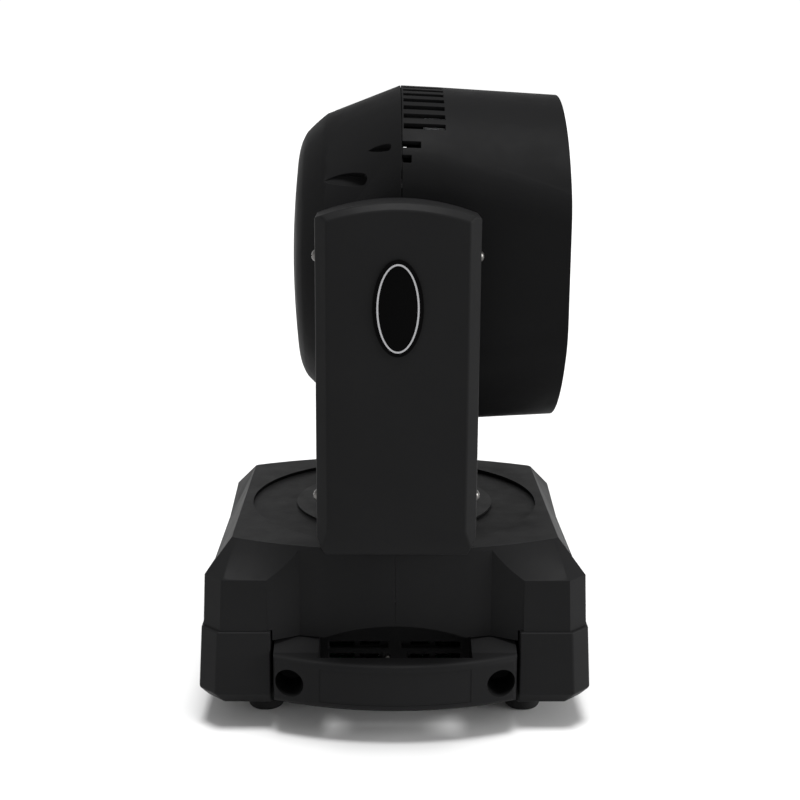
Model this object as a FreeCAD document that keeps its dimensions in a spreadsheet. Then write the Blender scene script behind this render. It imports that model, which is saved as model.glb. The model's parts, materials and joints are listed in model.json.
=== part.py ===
import FreeCAD, Part
import math
import os
import re

import Sketcher
from FreeCAD import Rotation, Vector

# A moving head light: a base that stands on rubber feet, a two-armed yoke that pans on it and a
# head that tilts between the arms. The origin is on the ground on the pan axis. The beam leaves
# along +X, the arms stand at -Y (near) and +Y (far), and all sizes are millimetres.

SIZES = {
    # base cover
    "plate_height": 113, "plate_length": 200, "plate_corner_span": 162, "plate_bow": 24,
    "plate_corner": 2, "edge_drop": 18, "dip_drop": 27, "dip_half": 44, "dip_lap": 1,
    "case_length": 230, "case_width": 218, "corner_chamfer": 11, "seam_height": 63,
    "seam_growth": 2.4, "cover_wall": 3, "half_gap": 0.1, "recess_radius": 94,
    "recess_depth": 2.2, "flank_inner": 58, "flank_outer": 77, "flank_share": 0.25,
    "apron_half": 74, "apron_reveal": 2.2, "apron_height": 56.3, "arch_half": 42.5,
    "arch_rise": 8.9, "shelf_height": 67,
    # base case
    "skirt_step": 1.2, "skirt_growth": 4, "bottom_height": 12, "bottom_length": 204,
    "bottom_width": 194, "knee_height": 24, "heel_height": 17, "heel_length": 229,
    "heel_width": 217, "case_wall": 3, "handle_bay_half": 75, "handle_bay_wall": 88,
    "vent_half": 40.5, "vent_pillar": 8.5, "vent_pillar_foot": 15.5, "vent_slot": 3.8,
    "vent_high": 43.3, "vent_pitch": 7.8, "vent_count": 3, "clamp_spacing": 106,
    "clamp_hole_radius": 7, "seam_clearance": 0.1,
    # carry handles
    "handle_low": 21.3, "handle_high": 51, "handle_half": 73, "handle_end": 118,
    "handle_bow": 15.5, "handle_inner": 121, "handle_block": 27, "handle_fillet": 4,
    "handle_hole_at": 63.2, "handle_hole_height": 35.2, "handle_bore_radius": 8.6,
    "handle_seat": 8, "handle_ramp_start": 4.5, "handle_ramp_end": 18, "handle_ramp_gap": 0.8,
    "handle_panel_half": 45, "handle_panel_depth": 0.3, "handle_panel_edge": 4.5,
    # feet and screws
    "foot_radius": 11, "foot_x": 81, "foot_y": 75.3, "foot_fillet": 2.5, "foot_cup": 4.5,
    "screw_radius": 1.5, "screw_head": 3.4, "screw_head_height": 2.1, "screw_length": 12,
    "hole_clearance": 0.3, "vent_screw_x": 4.5, "vent_screw_height": 37.1,
    "vent_screw_length": 5.5, "vent_screw_radius": 1, "vent_screw_head": 1.3,
    "vent_screw_dome": 0.8,
    # steel frame in the base
    "deck_height": 84, "deck_thickness": 2.5, "deck_length": 204, "deck_width": 156,
    "pillar_radius": 5, "pillar_x": 92, "pillar_y": 68,
    # pan bearing, shaft and drive
    "shaft_radius": 20, "shaft_bore": 14, "bearing_outer": 35, "bearing_height": 12,
    "bearing_seat": 2, "bearing_depth": 16, "race_width": 3.2, "ball_radius": 4.25,
    "ball_count": 14, "bearing_collar": 8, "turntable_radius": 65,
    "turntable_thickness": 1.2, "turntable_gap": 0.3, "turntable_hub": 32,
    "bridge_rise": 0.4, "running_gap": 1,
    "pan_pulley_radius": 48, "pulley_height": 8, "pulley_gap": 4, "pulley_lip": 0.5,
    "pan_ratio": 6, "motor_inset": 35, "motor_side": 42, "pan_motor_length": 44,
    "motor_shaft_radius": 2.5, "belt_thickness": 1.6, "belt_clearance": 0.3, "belt_width": 6,
    "fit": 0.05,
    # panels of the base
    "panel_low": 27, "panel_high": 60, "panel_half": 58, "panel_depth": 3.2,
    "panel_thickness": 2, "panel_lap": 3, "panel_rim": 0.6, "panel_wall": 1.2,
    "window_length": 46, "window_height": 22, "window_at": 24, "window_recess": 0.4,
    "button_radius": 4.5, "button_travel": 1, "button_proud": 1.6, "button_pitch": 17,
    "button_first": 14, "button_rise": 7, "socket_side": 26, "socket_height": 28,
    "socket_bore": 9.6, "socket_wall": 2, "socket_flange": 1.6, "socket_depth": 16,
    "socket_pitch": 34, "fuse_radius": 6, "fuse_cap": 3, "fuse_length": 24,
    "pin_radius": 1.1, "pin_ring": 4.8, "pin_start": 4, "pin_clearance": 0.3,
    # electronics in the base
    "supply_length": 116, "supply_width": 58, "supply_height": 30, "board_thickness": 1.6,
    "board_length": 110, "board_width": 48, "standoff": 5, "standoff_radius": 3,
    "standoff_inset": 4, "chip_first": 14, "chip_pitch": 24, "chip_length": 13,
    "chip_width": 12, "chip_height": 3, "base_fan_side": 50, "base_fan_depth": 15,
    "base_fan_rise": 1,
    # yoke
    "arm_inner": 105, "arm_outer": 143, "arm_half": 45.5, "arm_face_half": 22,
    "arm_crown": 1.2, "arm_bottom": 121, "arm_corner_height": 312.5, "arm_top": 321,
    "arm_side_bevel": 6.5, "arm_top_bevel": 4, "arm_foot_height": 18, "arm_foot_lean": 6,
    "arm_foot_corner": 5, "arm_foot_rise": 10, "arm_wall": 3, "lid_thickness": 2, "plate_steel": 2.5,
    "flange_gap": 9, "plate_top": 303, "bridge_half": 36, "bridge_steel": 3,
    "bridge_cover_top": 126, "arm_screw_high": 291, "arm_screw_low": 154,
    "arm_screw_inset": 15, "badge_height": 264, "badge_half_width": 14,
    "badge_half_height": 26.7, "badge_rim": 2.2, "badge_ring": 1.0, "badge_rim_height": 1.2,
    "badge_ring_height": 1.7, "badge_dome": 2.6,
    # tilt drive
    "tilt_height": 276.2, "trunnion_radius": 13, "trunnion_bore": 8, "tilt_bearing_outer": 20,
    "tilt_bearing_width": 8, "tilt_pulley_radius": 35, "tilt_pulley_width": 7, "tilt_ratio": 5,
    "tilt_motor_drop": 100, "tilt_cover_gap": 2.5,
    # head
    "split": 2.4, "split_gap": 0.4, "head_radius": 106.8, "rim_at": 100, "rim_radius": 101.6,
    "rim_cheek": 94.5, "head_waist_at": 25, "head_waist_radius": 105.8, "cheek": 88,
    "cheek_corner": 38, "cheek_fade": 1, "shell_wall": 3, "rear_corner_at": 43.1,
    "rear_corner_radius": 89.2, "rear_edge_at": 55.6, "rear_edge_radius": 78,
    "rear_soft_at": 60.7, "rear_soft_radius": 63, "rear_end": 64.8, "rear_edge_arc": 110,
    "rear_soft_arc": 30, "rear_back_arc": 560, "slot_start": 3.6, "slot_end": 28,
    "slot_width": 4.6, "slot_angle": 5.13, "slot_count": 16, "cutter_reach": 20,
    "notch_height": 4.6, "notch_long": 13.4, "notch_short": 7.9, "notch_upper_angle": 46.6,
    "notch_lower_angle": 51.9, "port_long_tip": 43, "port_long_start": 19.6,
    "port_long_angle": 56, "port_long_drift": 1.7, "port_long_sink": 0,
    "port_short_tip": 17, "port_short_start": 5, "port_short_angle": 45.8,
    "port_short_drift": 1.6, "port_short_sink": 3, "port_long_height": 7.4,
    "port_short_height": 4.8, "port_wall": 2, "port_floor": 1.6,
    "rear_vent_half": 30, "rear_vent_slot": 3.2, "rear_vent_pitch": 8, "rear_vent_count": 9,
    # optics and electronics in the head
    "mask_at": 91.5, "mask_thickness": 3, "lens_pitch": 36.4, "lens_radius": 15.6,
    "lens_clearance": 0.4, "lens_bulge": 6, "lens_depth": 10, "led_board_at": 70,
    "emitter_radius": 4, "emitter_height": 3, "sink_base": 6, "fin_start": 18,
    "fin_thickness": 2, "fin_pitch": 9, "fin_count": 17, "frame_half": 30, "frame_steel": 3,
    "frame_rear": 16, "frame_gap": 0.6, "frame_foot": 9, "head_fan_side": 92,
    "head_fan_depth": 25, "fan_ring": 3, "fan_hub": 0.42, "fan_blades": 7,
    "blade_thickness": 1.6, "blade_angle": 35, "driver_width": 110, "driver_height": 30,
    "driver_rise": 50, "driver_chip_first": 12, "driver_chip_pitch": 26,
    "driver_chip_length": 12, "driver_chip_height": 14, "driver_chip_depth": 6,
    "driver_chip_lift": 8,
}

doc = FreeCAD.newDocument("moving_head_light")
sheet = doc.addObject("Spreadsheet::Sheet", "dims")
for row, (alias, size) in enumerate(SIZES.items(), start=1):
    sheet.set("A%d" % row, alias)
    sheet.set("B%d" % row, str(size))
    sheet.setAlias("B%d" % row, alias)
doc.recompute()

NODES = {}


# ---------------------------------------------------------------- helpers

def formula(text):
    """The expression with each size's name pointing into the sheet."""
    return re.sub(r"[a-z][a-z0-9_]*", lambda m: "dims." + m[0] if m[0] in SIZES else m[0], str(text))


def value(text):
    return float(sheet.evalExpression(formula(text)))


def bind(item, **properties):
    for name, text in properties.items():
        item.setExpression(name.replace("__", "."), formula(text))
    return item


def plus(*terms):
    return " + ".join("(%s)" % term for term in terms)


def times(factor, text):
    return "(%s) * (%s)" % (factor, text)


def node(label, item):
    item.Label = label
    NODES[label] = item
    return item


def make_body(name):
    return doc.addObject("PartDesign::Body", name)


def origin_plane(body, role):
    return next(item for item in body.Origin.OriginFeatures if item.Role == role)


def new_sketch(body, name, plane, offset):
    sketch = body.newObject("Sketcher::SketchObject", name)
    sketch.AttachmentSupport = (origin_plane(body, plane), [""])
    sketch.MapMode = "FlatFace"
    sketch.setExpression("AttachmentOffset.Base.z", formula(offset))
    return sketch


def pin_point(sketch, edge, end, x, y):
    """Binds a point's two coordinates, measured from the sketch's origin."""
    for kind, axis, text in (("DistanceX", -2, x), ("DistanceY", -1, y)):
        size = value(text)
        if abs(size) < 1e-9:
            sketch.addConstraint(Sketcher.Constraint("PointOnObject", edge, end, axis))
        else:
            number = sketch.addConstraint(Sketcher.Constraint(kind, -1, 1, edge, end, size))
            sketch.setExpression("Constraints[%d]" % number, formula(text))


def arc_middle(start, end, radius):
    """The middle of the arc that bulges to the right of the way from start to end."""
    chord = end - start
    side = math.copysign(1, radius)
    sagitta = abs(radius) - math.sqrt(radius ** 2 - (chord.Length / 2) ** 2)
    outward = Vector(chord.y, -chord.x, 0).normalize()
    return (start + end) * 0.5 + outward * sagitta * side


def outline(body, name, plane, corners, offset="0", arcs=None):
    """A closed outline. arcs gives the radius of the edges that leave a corner as an arc."""
    sketch = new_sketch(body, name, plane, offset)
    arcs = arcs or {}
    points = [Vector(value(x), value(y), 0) for x, y in corners]
    ends = []
    for number, start in enumerate(points):
        end = points[(number + 1) % len(points)]
        if number in arcs:
            middle = arc_middle(start, end, value(arcs[number]))
            sketch.addGeometry(Part.Arc(start, middle, end))
        else:
            sketch.addGeometry(Part.LineSegment(start, end))
        forward = (sketch.getPoint(number, 1) - start).Length < 1e-6
        ends.append((1, 2) if forward else (2, 1))
    for number, corner in enumerate(corners):
        following = (number + 1) % len(points)
        sketch.addConstraint(
            Sketcher.Constraint("Coincident", number, ends[number][1], following, ends[following][0]))
        pin_point(sketch, number, ends[number][0], *corner)
        if number in arcs:
            radius = abs(value(arcs[number]))
            bound = sketch.addConstraint(Sketcher.Constraint("Radius", number, radius))
            sketch.setExpression("Constraints[%d]" % bound, formula("abs(%s)" % arcs[number]))
    return sketch


def circles(body, name, plane, centres, radii, offset="0"):
    sketch = new_sketch(body, name, plane, offset)
    for number, ((x, y), radius) in enumerate(zip(centres, radii)):
        sketch.addGeometry(Part.Circle(Vector(value(x), value(y), 0), Vector(0, 0, 1), value(radius)))
        pin_point(sketch, number, 3, x, y)
        bound = sketch.addConstraint(Sketcher.Constraint("Radius", number, value(radius)))
        sketch.setExpression("Constraints[%d]" % bound, formula(radius))
    return sketch


def pad(body, sketch, length, reverse=False):
    feature = body.newObject("PartDesign::Pad", sketch.Name + "_pad")
    feature.Profile = sketch
    feature.Reversed = reverse
    return bind(feature, Length=length)


def pocket(body, sketch, length, reverse=False):
    """Cuts the sketch's profile and makes sure that it took something away."""
    doc.recompute()
    before = body.Shape.Volume
    feature = body.newObject("PartDesign::Pocket", sketch.Name + "_pocket")
    feature.Profile = sketch
    feature.Reversed = reverse
    bind(feature, Length=length)
    doc.recompute()
    if body.Shape.Volume >= before:
        raise RuntimeError("the pocket of %s cuts nothing" % sketch.Name)
    return feature


def loft(body, sketches, name, kind="Additive"):
    feature = body.newObject("PartDesign::%sLoft" % kind, name)
    feature.Profile = sketches[0]
    feature.Sections = sketches[1:]
    feature.Ruled = True
    return feature


def revolve(body, sketch):
    """Turns a profile about the sketch's own horizontal axis."""
    feature = body.newObject("PartDesign::Revolution", sketch.Name + "_turned")
    feature.Profile = sketch
    feature.ReferenceAxis = (sketch, ["H_Axis"])
    feature.Angle = 360
    return feature


def soften(body, kind, name, size, chosen):
    """A Fillet or Chamfer on the edges of the body's last feature that chosen picks."""
    doc.recompute()
    base = body.Tip
    edges = ["Edge%d" % (number + 1) for number, edge in enumerate(base.Shape.Edges) if chosen(edge)]
    feature = body.newObject("PartDesign::" + kind, name)
    feature.Base = (base, edges)
    return bind(feature, **{"Radius" if kind == "Fillet" else "Size": size})


def box(name, low, size):
    item = doc.addObject("Part::Box", name)
    return bind(item, Length=size[0], Width=size[1], Height=size[2], Placement__Base__x=low[0],
                Placement__Base__y=low[1], Placement__Base__z=low[2])


AXIS_TURN = {"x": Rotation(Vector(0, 1, 0), 90), "y": Rotation(Vector(1, 0, 0), -90), "z": Rotation()}


def cylinder(name, start, radius, length, axis="z"):
    item = doc.addObject("Part::Cylinder", name)
    item.Placement.Rotation = AXIS_TURN[axis]
    return bind(item, Radius=radius, Height=length, Placement__Base__x=start[0],
                Placement__Base__y=start[1], Placement__Base__z=start[2])


def fuse(name, pieces):
    item = doc.addObject("Part::MultiFuse", name)
    item.Shapes = pieces
    item.Refine = True
    return item


def cut(name, base, tools):
    item = doc.addObject("Part::Cut", name)
    item.Base = base
    item.Tool = tools[0] if len(tools) == 1 else fuse(name + "_tools", tools)
    return item


def common(name, first, second):
    item = doc.addObject("Part::Common", name)
    item.Base = first
    item.Tool = second
    return item


def group(name, pieces):
    item = doc.addObject("Part::Compound", name)
    item.Links = pieces
    return item


def tube(name, start, radius, bore, length, axis="z"):
    return cut(name, cylinder(name + "_outside", start, radius, length, axis),
               [cylinder(name + "_bore", start, bore, length, axis)])


def copies(label, forms):
    """Separate solids of one or more forms, each at its own placements."""
    doc.recompute()
    item = doc.addObject("Part::Feature", label)
    item.Shape = Part.makeCompound([form.Shape.transformed(place.toMatrix())
                                    for form, places in forms for place in places])
    return node(label, item)


def both(text):
    """An amount on both sides of zero."""
    return [times(-1, text), text]


# ---------------------------------------------------------------- base covers and case

PLATE_ARC = "((plate_length / 2) ^ 2 + plate_bow ^ 2) / (2 * plate_bow)"
PLATE_ARC_CENTRE = "plate_corner_span / 2 + plate_bow - (%s)" % PLATE_ARC
APRON_ARC = plus(PLATE_ARC, "apron_reveal")
DECK_BOTTOM = "deck_height - deck_thickness"
FLOOR_TOP = "bottom_height + case_wall"
SCREW_HOLE = "screw_radius + hole_clearance"


def octagon(length, width, chamfer):
    """A rectangle with cut corners, its long sides first."""
    x, y = "(%s) / 2" % length, "(%s) / 2" % width
    near_x, near_y = "%s - (%s)" % (x, chamfer), "%s - (%s)" % (y, chamfer)
    turns = [(-1, -1, near_x, y), (1, -1, near_x, y), (1, -1, x, near_y), (1, 1, x, near_y),
             (1, 1, near_x, y), (-1, 1, near_x, y), (-1, 1, x, near_y), (-1, -1, x, near_y)]
    return [(times(sx, px), times(sy, py)) for sx, sy, px, py in turns]


def inside(size, inset):
    """An overall size less a wall at each end."""
    return "(%s - 2 * (%s))" % (size, inset)


def set_back(inset):
    """The bowed wall between two flanks: its half length, place, radius and the flanks' end."""
    radius = plus(APRON_ARC, times(-1, inset))
    half = "(%s)" % plus("flank_inner", times("flank_share", inset))
    wall = plus(PLATE_ARC_CENTRE, "sqrt((%s) ^ 2 - (%s) ^ 2)" % (radius, half))
    return half, wall, radius, "(%s)" % plus("flank_outer", times("flank_share", inset))


def end_dip(body, name, side, inset):
    """Cuts one end of the cover back to a flatter slope that leaves the corners standing."""
    post, shoulder = "(case_width / 2 - corner_chamfer)", "(plate_corner_span / 2)"
    rows = [(post, "edge_drop", "dip_half", "dip_drop"),
            (shoulder, "0", plus(shoulder, "-dip_lap"), "0")]
    sections = []
    for number, (at, row) in enumerate((("case_length / 2 + dip_lap", rows[0]),
                                        ("case_length / 2", rows[0]), ("plate_length / 2", rows[1]))):
        wide, drop, narrow, dip = row
        corners = [(wide, drop), (narrow, dip), (times(-1, narrow), dip), (times(-1, wide), drop)]
        corners = [(y, "plate_height - (%s) - (%s)" % (fall, inset)) for y, fall in corners]
        corners += [(times(-1, wide), "plate_height + edge_drop"), (wide, "plate_height + edge_drop")]
        sections.append(outline(body, "%s_%d" % (name, number), "YZ_Plane", corners,
                                times(side, "%s - (%s)" % (at, inset))))
    loft(body, sections, name, "Subtractive")


def cover_form(name, inset):
    """The solid shape of the top cover, or of its hollow when inset is the wall."""
    body = make_body(name)
    plate_rise = "plate_height - (%s)" % inset
    levels = [("seam_height", "case_length + seam_growth", "case_width + seam_growth"),
              ("plate_height - edge_drop", "case_length", "case_width")]
    sections = []
    for number, (level, length, width) in enumerate(levels):
        corners = octagon(inside(length, inset), inside(width, inset), "corner_chamfer")
        sections.append(outline(body, "%s_level_%d" % (name, number), "XY_Plane", corners, level))
    top = octagon(inside("plate_length", inset),
                  inside("plate_corner_span + 2 * plate_corner", inset), "plate_corner")
    if value(inset) > 0:
        plate_rise = "plate_height - recess_depth - (%s)" % inset
    sections.append(outline(body, name + "_plate", "XY_Plane", top, plate_rise,
                            {0: PLATE_ARC, 4: PLATE_ARC}))
    loft(body, sections, name + "_loft")
    for side in (-1, 1):
        end_dip(body, "%s_dip_%d" % (name, side + 1), side, inset)
    half, wall, radius, flank = set_back(inset)
    for side in (-1, 1):
        edge = times(side, inside("case_width", inset) + " / 2")
        corners = [(times(-1, half), times(side, wall)), (half, times(side, wall)),
                   (flank, edge), (flank, times(side, "case_width")),
                   (times(-1, flank), times(side, "case_width")), (times(-1, flank), edge)]
        cutter = outline(body, "%s_set_back_%d" % (name, side + 1), "XY_Plane", corners,
                         "seam_height", {0: times(-side, radius)})
        pocket(body, cutter, "plate_height", reverse=True)
    return body


def apron(side):
    """The lip that hangs from the cover in front of the handle bay and follows its wall."""
    body = make_body("apron_%d" % (side + 1))
    rows = []
    for inset in ("0", "cover_wall"):
        half, wall, radius, flank = set_back(inset)
        rise = "(%s / 2 - (%s)) / (%s - %s)" % (inside("case_width", inset), wall, flank, half)
        end = plus(wall, times(rise, "apron_half - %s" % half))
        rows.append((half, times(side, wall), times(side, end), radius))
    (half, wall, end, radius), (inner_half, inner_wall, inner_end, inner_radius) = rows
    corners = [("-apron_half", end), (times(-1, half), wall), (half, wall), ("apron_half", end),
               ("apron_half", inner_end), (inner_half, inner_wall),
               (times(-1, inner_half), inner_wall), ("-apron_half", inner_end)]
    lip = outline(body, "lip_%d" % (side + 1), "XY_Plane", corners, "apron_height",
                  {1: times(-side, radius), 5: times(side, inner_radius)})
    pad(body, lip, "seam_height - apron_height")
    return body


def arch(side):
    """The segment of a circle that is cut out of the apron's lower edge."""
    body = make_body("arch_%d" % (side + 1))
    radius = "(arch_half ^ 2 + arch_rise ^ 2) / (2 * arch_rise)"
    opening = outline(body, "arch_form_%d" % (side + 1), "XZ_Plane",
                      [("arch_half", "apron_height"), ("-arch_half", "apron_height")],
                      times(-side, "handle_bay_wall"), {0: radius})
    pad(body, opening, "case_width / 4", reverse=side > 0)
    return body


def shelf(side, outside):
    """The ledge inside the cover that closes the space behind the apron from above."""
    name = "shelf_%d" % (side + 1)
    depth = "case_width / 2 - handle_bay_wall + case_wall"
    low_y = "handle_bay_wall - case_wall" if side > 0 else "-case_width / 2"
    ledge = box(name + "_sheet", ("-flank_outer", low_y, "shelf_height"),
                ("2 * flank_outer", depth, "cover_wall"))
    return common(name, outside, ledge)


def base_covers():
    outside = cover_form("cover_outside", "0")
    shell = cut("cover_shell", outside, [cover_form("cover_inside", "cover_wall")])
    extras = [piece for side in (-1, 1) for piece in (apron(side), shelf(side, outside))]
    whole = fuse("cover_whole", [shell] + extras)
    recess = cylinder("cover_recess", ("0", "0", "plate_height - recess_depth"),
                      "recess_radius", "recess_depth")
    opening = cylinder("cover_opening", ("0", "0", "seam_height"), "shaft_radius + running_gap",
                       "plate_height")
    slit = box("cover_slit", ("-half_gap / 2", "-case_width", "0"),
               ("half_gap", "2 * case_width", "2 * plate_height"))
    trimmed = cut("cover_trimmed", whole, [recess, opening, slit, arch(-1), arch(1)])
    for label, low in (("base_cover_front", "0"), ("base_cover_rear", "-case_length")):
        half = box(label + "_half", (low, "-case_width", "0"),
                   ("case_length", "2 * case_width", "2 * plate_height"))
        node(label, common(label, trimmed, half))


def case_form(name, inset, floor, lid):
    """The solid shape of the lower case, or of its hollow when inset is the wall."""
    body = make_body(name)
    seam_length = "case_length + seam_growth + 2 * skirt_step"
    seam_width = "case_width + seam_growth + 2 * skirt_step"
    levels = [(floor, "bottom_length", "bottom_width"),
              (plus("heel_height", inset), "heel_length", "heel_width"),
              (plus("knee_height", inset), seam_length + " + skirt_growth",
               seam_width + " + skirt_growth"),
              (lid, seam_length, seam_width)]
    sections = []
    for number, (level, length, width) in enumerate(levels):
        corners = octagon(inside(length, inset), inside(width, inset), "corner_chamfer")
        sections.append(outline(body, "%s_level_%d" % (name, number), "XY_Plane", corners, level))
    loft(body, sections, name + "_loft")
    half, wall = plus("handle_bay_half", inset), "handle_bay_wall - (%s)" % inset
    for side in (-1, 1):
        corners = [(times(-1, half), times(side, wall)), (half, times(side, wall)),
                   (half, times(side, "case_width")), (times(-1, half), times(side, "case_width"))]
        bay = outline(body, "%s_bay_%d" % (name, side + 1), "XY_Plane", corners)
        pocket(body, bay, "2 * plate_height", reverse=True)
    return body


def panel_openings():
    depth = "3 * panel_depth + case_wall"
    openings = []
    for number, low in enumerate(("case_length / 2 - panel_depth - case_wall",
                                  "-case_length / 2 - 2 * panel_depth")):
        openings.append(box("panel_opening_%d" % number, (low, "-panel_half", "panel_low"),
                            (depth, "2 * panel_half", "panel_high - panel_low")))
    return openings


def vent_slots():
    """Rows of slots beside a pillar that is wider below, in the walls behind the handles."""
    slots = []
    for side in both("handle_bay_wall - case_wall / 2"):
        for row in range(int(value("vent_count"))):
            pillar = "vent_pillar_foot / 2" if row else "vent_pillar / 2"
            for start in ("-vent_half", pillar):
                low = (start, plus(side, "-case_wall"), "vent_high - %d * vent_pitch" % row)
                slots.append(box("vent_slot", low,
                                 ("vent_half - " + pillar, "2 * case_wall", "vent_slot")))
    return slots


def bay_collar():
    """Raises the walls of both handle bays from the seam to the cover's ledge."""
    low, rise = "seam_height - case_wall", "shelf_height - seam_clearance - seam_height + case_wall"
    walls = []
    for side in (-1, 1):
        y = "handle_bay_wall - case_wall" if side > 0 else "-handle_bay_wall"
        walls.append(box("bay_wall", ("-handle_bay_half - case_wall", y, low),
                         ("2 * handle_bay_half + 2 * case_wall", "case_wall", rise)))
        y = "handle_bay_wall - case_wall" if side > 0 else "-handle_bay_wall - 2 * case_wall"
        for x in ("-handle_bay_half - case_wall", "handle_bay_half"):
            walls.append(box("bay_side", (x, y, low), ("case_wall", "3 * case_wall", rise)))
    return walls


def grid(x, y):
    return [(px, py) for px in both(x) for py in both(y)]


def base_case():
    hollow = case_form("case_inside", "case_wall", FLOOR_TOP, "seam_height + case_wall")
    solid = case_form("case_outside", "0", "bottom_height", "seam_height - seam_clearance")
    shell = fuse("case_walls", [cut("case_shell", solid, [hollow])] + bay_collar())
    tools = panel_openings() + vent_slots() + [vent_screw_hole("case_vent_screw_hole")]
    for x, y in grid("clamp_spacing / 2", "clamp_spacing / 2"):
        tools.append(cylinder("clamp_hole", (x, y, "0"), "clamp_hole_radius", FLOOR_TOP))
    for x, y in grid("foot_x", "foot_y"):
        tools.append(cylinder("foot_screw_hole", (x, y, "0"), SCREW_HOLE, FLOOR_TOP))
    for x in both("handle_hole_at"):
        tools.append(cylinder("handle_screw_hole", (x, "-case_width / 2", "handle_hole_height"),
                              SCREW_HOLE, "case_width", "y"))
    node("base_case", cut("base_case", shell, tools))


# ---------------------------------------------------------------- handles, feet and screws

def carry_handle(label, side):
    """A bar that bows outwards between two end blocks, which ramp up to the cover's apron."""
    body = make_body(label)
    bow = "(handle_half ^ 2 + handle_bow ^ 2) / (2 * handle_bow)"
    centre = "handle_end + handle_bow - (%s)" % bow
    finger = "(handle_half - handle_block)"
    corners = [("-handle_half", "handle_end"), ("handle_half", "handle_end"),
               ("handle_half", "handle_bay_wall"), (finger, "handle_bay_wall"),
               (finger, "handle_inner"), ("-" + finger, "handle_inner"),
               ("-" + finger, "handle_bay_wall"), ("-handle_half", "handle_bay_wall")]
    bar = outline(body, label + "_bar", "XY_Plane", [(x, times(side, y)) for x, y in corners],
                  "handle_low", {0: times(-side, bow)})
    pad(body, bar, "handle_high - handle_low")
    ends, front = value("handle_half"), value("handle_end")
    soften(body, "Fillet", label + "_fillet", "handle_fillet",
           lambda edge: all(abs(abs(vertex.X) - ends) + abs(side * vertex.Y - front) < 1e-4
                            for vertex in edge.Vertexes))
    top = "apron_height - handle_ramp_gap"
    rise = [("handle_end - handle_ramp_start", "handle_high"), ("handle_end - handle_ramp_end", top),
            ("handle_bay_wall", top), ("handle_bay_wall", "handle_high")]
    for end, start in (("near", "-handle_half"), ("far", finger)):
        ramp = outline(body, "%s_ramp_%s" % (label, end), "YZ_Plane",
                       [(times(side, y), z) for y, z in rise], start)
        pad(body, ramp, "handle_block")
    for name, radius, start in (("bore", "handle_bore_radius", "handle_bay_wall + handle_seat"),
                                ("hole", SCREW_HOLE, "handle_bay_wall")):
        holes = circles(body, "%s_%s" % (label, name), "XZ_Plane",
                        [(x, "handle_hole_height") for x in both("handle_hole_at")], [radius] * 2,
                        times(-side, start))
        pocket(body, holes, "handle_end", reverse=side < 0)
    face, floor = "(%s) + 1" % bow, "(%s) - handle_panel_depth" % bow
    rows = [times(side, plus(centre, "sqrt((%s) ^ 2 - handle_panel_half ^ 2)" % radius))
            for radius in (face, floor)]
    corners = [("-handle_panel_half", rows[0]), ("handle_panel_half", rows[0]),
               ("handle_panel_half", rows[1]), ("-handle_panel_half", rows[1])]
    panel = outline(body, label + "_panel", "XY_Plane", corners, "handle_low + handle_panel_edge",
                    {0: times(-side, face), 2: times(side, floor)})
    pocket(body, panel, "handle_high - handle_low - 2 * handle_panel_edge", reverse=True)
    node(label, body)


def rubber_feet():
    body = make_body("foot_form")
    pad(body, circles(body, "foot_disc", "XY_Plane", [("0", "0")], ["foot_radius"]), "bottom_height")
    soften(body, "Fillet", "foot_edge", "foot_fillet", lambda edge: edge.BoundBox.ZMax < 1e-6)
    cup = circles(body, "foot_cup_disc", "XY_Plane", [("0", "0")], ["screw_head + running_gap"])
    pocket(body, cup, "foot_cup", reverse=True)
    hole = circles(body, "foot_hole", "XY_Plane", [("0", "0")], [SCREW_HOLE])
    pocket(body, hole, "bottom_height", reverse=True)
    places = [FreeCAD.Placement(Vector(value(x), value(y), 0), Rotation())
              for x, y in grid("foot_x", "foot_y")]
    copies("rubber_feet", [(body, places)])


def screw_form(name, length, radius, head, dome):
    """A dome-head screw whose seat is at the origin and whose head points along +X."""
    body = make_body(name)
    arc = "({0} ^ 2 + {1} ^ 2) / (2 * {1})".format(head, dome)
    corners = [("-1 * " + length, "0"), (dome, "0"), ("0", head), ("0", radius),
               ("-1 * " + length, radius)]
    revolve(body, outline(body, name + "_profile", "XY_Plane", corners, "0", {1: arc}))
    slot, depth = head + " / 4", "2 * " + dome
    slots = []
    for width, height in ((slot, head), (head, slot)):
        low = (dome + " / 2", times(-0.5, width), times(-0.5, height))
        slots.append(box("driver_slot", low, (depth, width, height)))
    return cut(name + "_shape", body, slots)


def screw_place(x, y, z, direction):
    turn = Rotation(Vector(1, 0, 0), Vector(*direction))
    return FreeCAD.Placement(Vector(value(x), value(y), value(z)), turn)


def vent_screw_hole(name):
    """The hole of the screw that holds the base fan's hub plate to the vent pillar."""
    return cylinder(name, ("-vent_screw_x", "-handle_bay_wall - fit", "vent_screw_height"),
                    "vent_screw_radius + hole_clearance", "vent_screw_length + 2 * fit", "y")


def screws():
    form = screw_form("screw_form", "screw_length", "screw_radius", "screw_head", "screw_head_height")
    small = screw_form("vent_screw_form", "vent_screw_length", "vent_screw_radius", "vent_screw_head",
                       "vent_screw_dome")
    seat = "handle_bay_wall + handle_seat"
    places = [screw_place(x, times(side, seat), "handle_hole_height", (0, side, 0))
              for side in (-1, 1) for x in both("handle_hole_at")]
    places += [screw_place(x, y, "foot_cup", (0, 0, -1)) for x, y in grid("foot_x", "foot_y")]
    vent = screw_place("-vent_screw_x", "-handle_bay_wall", "vent_screw_height", (0, -1, 0))
    copies("base_screws", [(form, places), (small, [vent])])
    places = []
    for side in (-1, 1):
        for x in (-1, 1):
            for height in ("arm_screw_high", "arm_screw_low"):
                places.append(screw_place(times(x, "arm_half"), times(side, ARM_SCREW_OUT), height,
                                          (x, 0, 0)))
    copies("arm_cover_screws", [(form, places)])


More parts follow.
